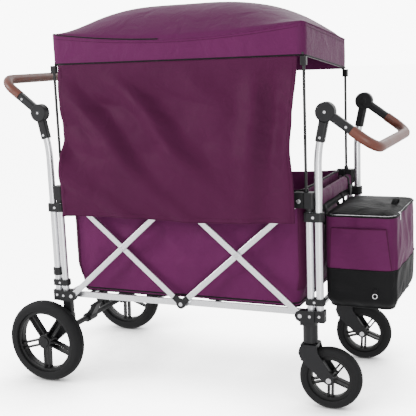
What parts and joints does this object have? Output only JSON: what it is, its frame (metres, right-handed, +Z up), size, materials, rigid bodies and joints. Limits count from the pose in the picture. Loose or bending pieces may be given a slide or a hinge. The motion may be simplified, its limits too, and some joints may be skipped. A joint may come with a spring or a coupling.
{
  "type": "folding stroller wagon",
  "caption": "Folding stroller wagon with fabric tub and canopy on scissor bars, a pull handle, a push handle, swivel casters and a storage bag.",
  "frame": {"origin": "on the floor, midway between the four corner posts", "axes": "+X to the front (swivel casters and bag), +Y to the far side, +Z up"},
  "size_m": [1.3109, 0.6234, 1.2494],
  "materials": {
    "silver_tube": "satin anodised",
    "black_tube": "powder coated",
    "rivet_steel": "bright",
    "black_plastic": "fine texture",
    "wheel_plastic": "fine texture",
    "tyre_foam": "dull",
    "brown_leather": "semi-matt with lacing",
    "plum_fabric": "woven polyester",
    "black_fabric": "woven polyester",
    "board_black": "plain board"
  },
  "bodies": {
    "rear_frame": {"rear_frame_tubes": "silver_tube", "rear_post_brackets": "black_plastic", "rear_fasteners": "rivet_steel", "rear_legs": "black_plastic", "tub_fabric": "plum_fabric", "tub_pads": "plum_fabric"},
    "bars_a": {"scissor_bars_a": "silver_tube", "hub_ears_rear": "black_plastic"},
    "bars_b": {"scissor_bars_b": "silver_tube", "scissor_pins_rear": "rivet_steel"},
    "bars_c": {"scissor_bars_c": "silver_tube", "hub_ears_front": "black_plastic", "scissor_pins_front": "rivet_steel"},
    "bars_d": {"scissor_bars_d": "silver_tube"},
    "front_frame": {"front_frame_tubes": "silver_tube", "front_post_brackets": "black_plastic", "front_fasteners": "rivet_steel", "caster_housings": "black_plastic", "front_handle_posts": "silver_tube", "front_hinge_sockets": "black_plastic", "bag_body": "plum_fabric", "bag_base": "black_fabric"},
    "rear_slider": {"rear_top_brackets": "black_plastic", "rear_slide_tubes": "silver_tube", "rear_canopy_poles": "black_tube", "canopy_cover": "plum_fabric", "side_curtain": "plum_fabric"},
    "front_slider": {"front_top_brackets": "black_plastic", "front_slide_tubes": "silver_tube", "front_canopy_poles": "black_tube"},
    "floor_rear": {"rear_rails": "silver_tube", "rear_floor_board": "board_black"},
    "floor_front": {"front_rails": "silver_tube", "front_floor_board": "board_black"},
    "rear_handle_lift": {"rear_handle_posts": "silver_tube", "rear_hinge_sockets": "black_plastic"},
    "rear_handle": {"rear_handle_arms": "black_plastic", "rear_handle_tube": "rivet_steel", "rear_handle_grip": "brown_leather"},
    "front_handle": {"front_handle_arms": "black_plastic", "front_handle_tube": "rivet_steel", "front_handle_grip": "brown_leather"},
    "bag_cover": {"bag_lid": "black_fabric"},
    "brake": {"brake_pedal": "black_plastic"},
    "caster_far": {"caster_far_fork": "black_plastic", "caster_far_axle": "rivet_steel"},
    "caster_wheel_far": {"caster_far_wheel_tyre": "tyre_foam", "caster_far_wheel_rim": "wheel_plastic"},
    "rear_wheel_far": {"rear_wheel_far_tyre": "tyre_foam", "rear_wheel_far_rim": "wheel_plastic"},
    "front_button_far_press": {"front_button_far": "black_plastic"},
    "rear_button_far_press": {"rear_button_far": "black_plastic"},
    "caster_near": {"caster_near_fork": "black_plastic", "caster_near_axle": "rivet_steel"},
    "caster_wheel_near": {"caster_near_wheel_tyre": "tyre_foam", "caster_near_wheel_rim": "wheel_plastic"},
    "rear_wheel_near": {"rear_wheel_near_tyre": "tyre_foam", "rear_wheel_near_rim": "wheel_plastic"},
    "front_button_near_press": {"front_button_near": "black_plastic"},
    "rear_button_near_press": {"rear_button_near": "black_plastic"}
  },
  "joints": [
    {"name": "fold", "type": "hinge", "parent": "rear_frame", "child": "bars_b", "pos_m": [-0.4, 0, 0.298], "axis": [0, -1, 0], "range_deg": [0, 32.5], "deforming": ["tub_fabric", "tub_pads", "canopy_cover", "side_curtain"]},
    {"name": "rear_cross_turn", "type": "hinge", "parent": "bars_b", "child": "bars_a", "pos_m": [-0.2, 0, 0.4715], "axis": [0, -1, 0], "range_deg": [-65, 0]},
    {"name": "hub_turn", "type": "hinge", "parent": "bars_a", "child": "bars_c", "pos_m": [0, 0, 0.298], "axis": [0, -1, 0], "range_deg": [0, 65]},
    {"name": "front_cross_turn", "type": "hinge", "parent": "bars_c", "child": "bars_d", "pos_m": [0.2, 0, 0.4715], "axis": [0, -1, 0], "range_deg": [-65, 0]},
    {"name": "front_frame_turn", "type": "hinge", "parent": "bars_d", "child": "front_frame", "pos_m": [0.4, 0, 0.298], "axis": [0, -1, 0], "range_deg": [0, 32.5]},
    {"name": "rear_slider_turn", "type": "hinge", "parent": "bars_a", "child": "rear_slider", "pos_m": [-0.4, 0, 0.645], "axis": [0, -1, 0], "range_deg": [0, 32.5]},
    {"name": "front_slider_turn", "type": "hinge", "parent": "bars_c", "child": "front_slider", "pos_m": [0.4, 0, 0.645], "axis": [0, -1, 0], "range_deg": [-32.5, 0]},
    {"name": "rear_floor_turn", "type": "hinge", "parent": "rear_frame", "child": "floor_rear", "pos_m": [-0.4, 0, 0.298], "axis": [0, -1, 0], "range_deg": [0, 67.88]},
    {"name": "front_floor_turn", "type": "hinge", "parent": "front_frame", "child": "floor_front", "pos_m": [0.4, 0, 0.298], "axis": [0, -1, 0], "range_deg": [-67.88, 0]},
    {"name": "rear_handle_height", "type": "slide", "parent": "rear_frame", "child": "rear_handle_lift", "axis": [0, 0, 1], "range_m": [0, 0.12]},
    {"name": "rear_handle_hinge", "type": "hinge", "parent": "rear_handle_lift", "child": "rear_handle", "pos_m": [-0.48355, 0, 0.9141], "axis": [0, -1, 0], "range_deg": [-42, 84]},
    {"name": "front_handle_hinge", "type": "hinge", "parent": "front_frame", "child": "front_handle", "pos_m": [0.48355, 0, 0.9061], "axis": [0, -1, 0], "range_deg": [-14, 110]},
    {"name": "bag_lid_hinge", "type": "hinge", "parent": "front_frame", "child": "bag_cover", "pos_m": [0.457, 0, 0.5886], "axis": [0, -1, 0], "range_deg": [0, 85]},
    {"name": "brake_pedal_turn", "type": "hinge", "parent": "rear_frame", "child": "brake", "pos_m": [-0.497, 0, 0.14], "axis": [0, 1, 0], "range_deg": [0, 20]},
    {"name": "front_button_far_slide", "type": "slide", "parent": "front_frame", "child": "front_button_far_press", "axis": [0, 1, 0], "range_m": [0, 0.003], "stiffness_N_per_m": 600},
    {"name": "rear_button_far_slide", "type": "slide", "parent": "rear_handle_lift", "child": "rear_button_far_press", "axis": [0, 1, 0], "range_m": [0, 0.003], "stiffness_N_per_m": 600},
    {"name": "caster_far_swivel", "type": "hinge", "parent": "front_frame", "child": "caster_far", "pos_m": [0.42, 0.227, 0.24], "axis": [0, 0, 1], "continuous": true},
    {"name": "caster_far_spin", "type": "hinge", "parent": "caster_far", "child": "caster_wheel_far", "pos_m": [0.482, 0.227, 0.097], "axis": [0, 1, 0], "continuous": true},
    {"name": "rear_wheel_far_spin", "type": "hinge", "parent": "rear_frame", "child": "rear_wheel_far", "pos_m": [-0.497, 0.287, 0.14], "axis": [0, 1, 0], "continuous": true},
    {"name": "front_button_near_slide", "type": "slide", "parent": "front_frame", "child": "front_button_near_press", "axis": [0, -1, 0], "range_m": [0, 0.003], "stiffness_N_per_m": 600},
    {"name": "rear_button_near_slide", "type": "slide", "parent": "rear_handle_lift", "child": "rear_button_near_press", "axis": [0, -1, 0], "range_m": [0, 0.003], "stiffness_N_per_m": 600},
    {"name": "caster_near_swivel", "type": "hinge", "parent": "front_frame", "child": "caster_near", "pos_m": [0.42, -0.227, 0.24], "axis": [0, 0, 1], "continuous": true},
    {"name": "caster_near_spin", "type": "hinge", "parent": "caster_near", "child": "caster_wheel_near", "pos_m": [0.482, -0.227, 0.097], "axis": [0, 1, 0], "continuous": true},
    {"name": "rear_wheel_near_spin", "type": "hinge", "parent": "rear_frame", "child": "rear_wheel_near", "pos_m": [-0.497, -0.287, 0.14], "axis": [0, 1, 0], "continuous": true}
  ],
  "couplings": [
    {"joint": "rear_cross_turn", "follows": "fold", "ratio": -2},
    {"joint": "hub_turn", "follows": "fold", "ratio": 2},
    {"joint": "front_cross_turn", "follows": "fold", "ratio": -2},
    {"joint": "front_frame_turn", "follows": "fold", "ratio": 1},
    {"joint": "rear_slider_turn", "follows": "fold", "ratio": 1},
    {"joint": "front_slider_turn", "follows": "fold", "ratio": -1},
    {"joint": "rear_floor_turn", "follows": "fold", "ratio": 2.0872},
    {"joint": "front_floor_turn", "follows": "fold", "ratio": -2.0872}
  ]
}
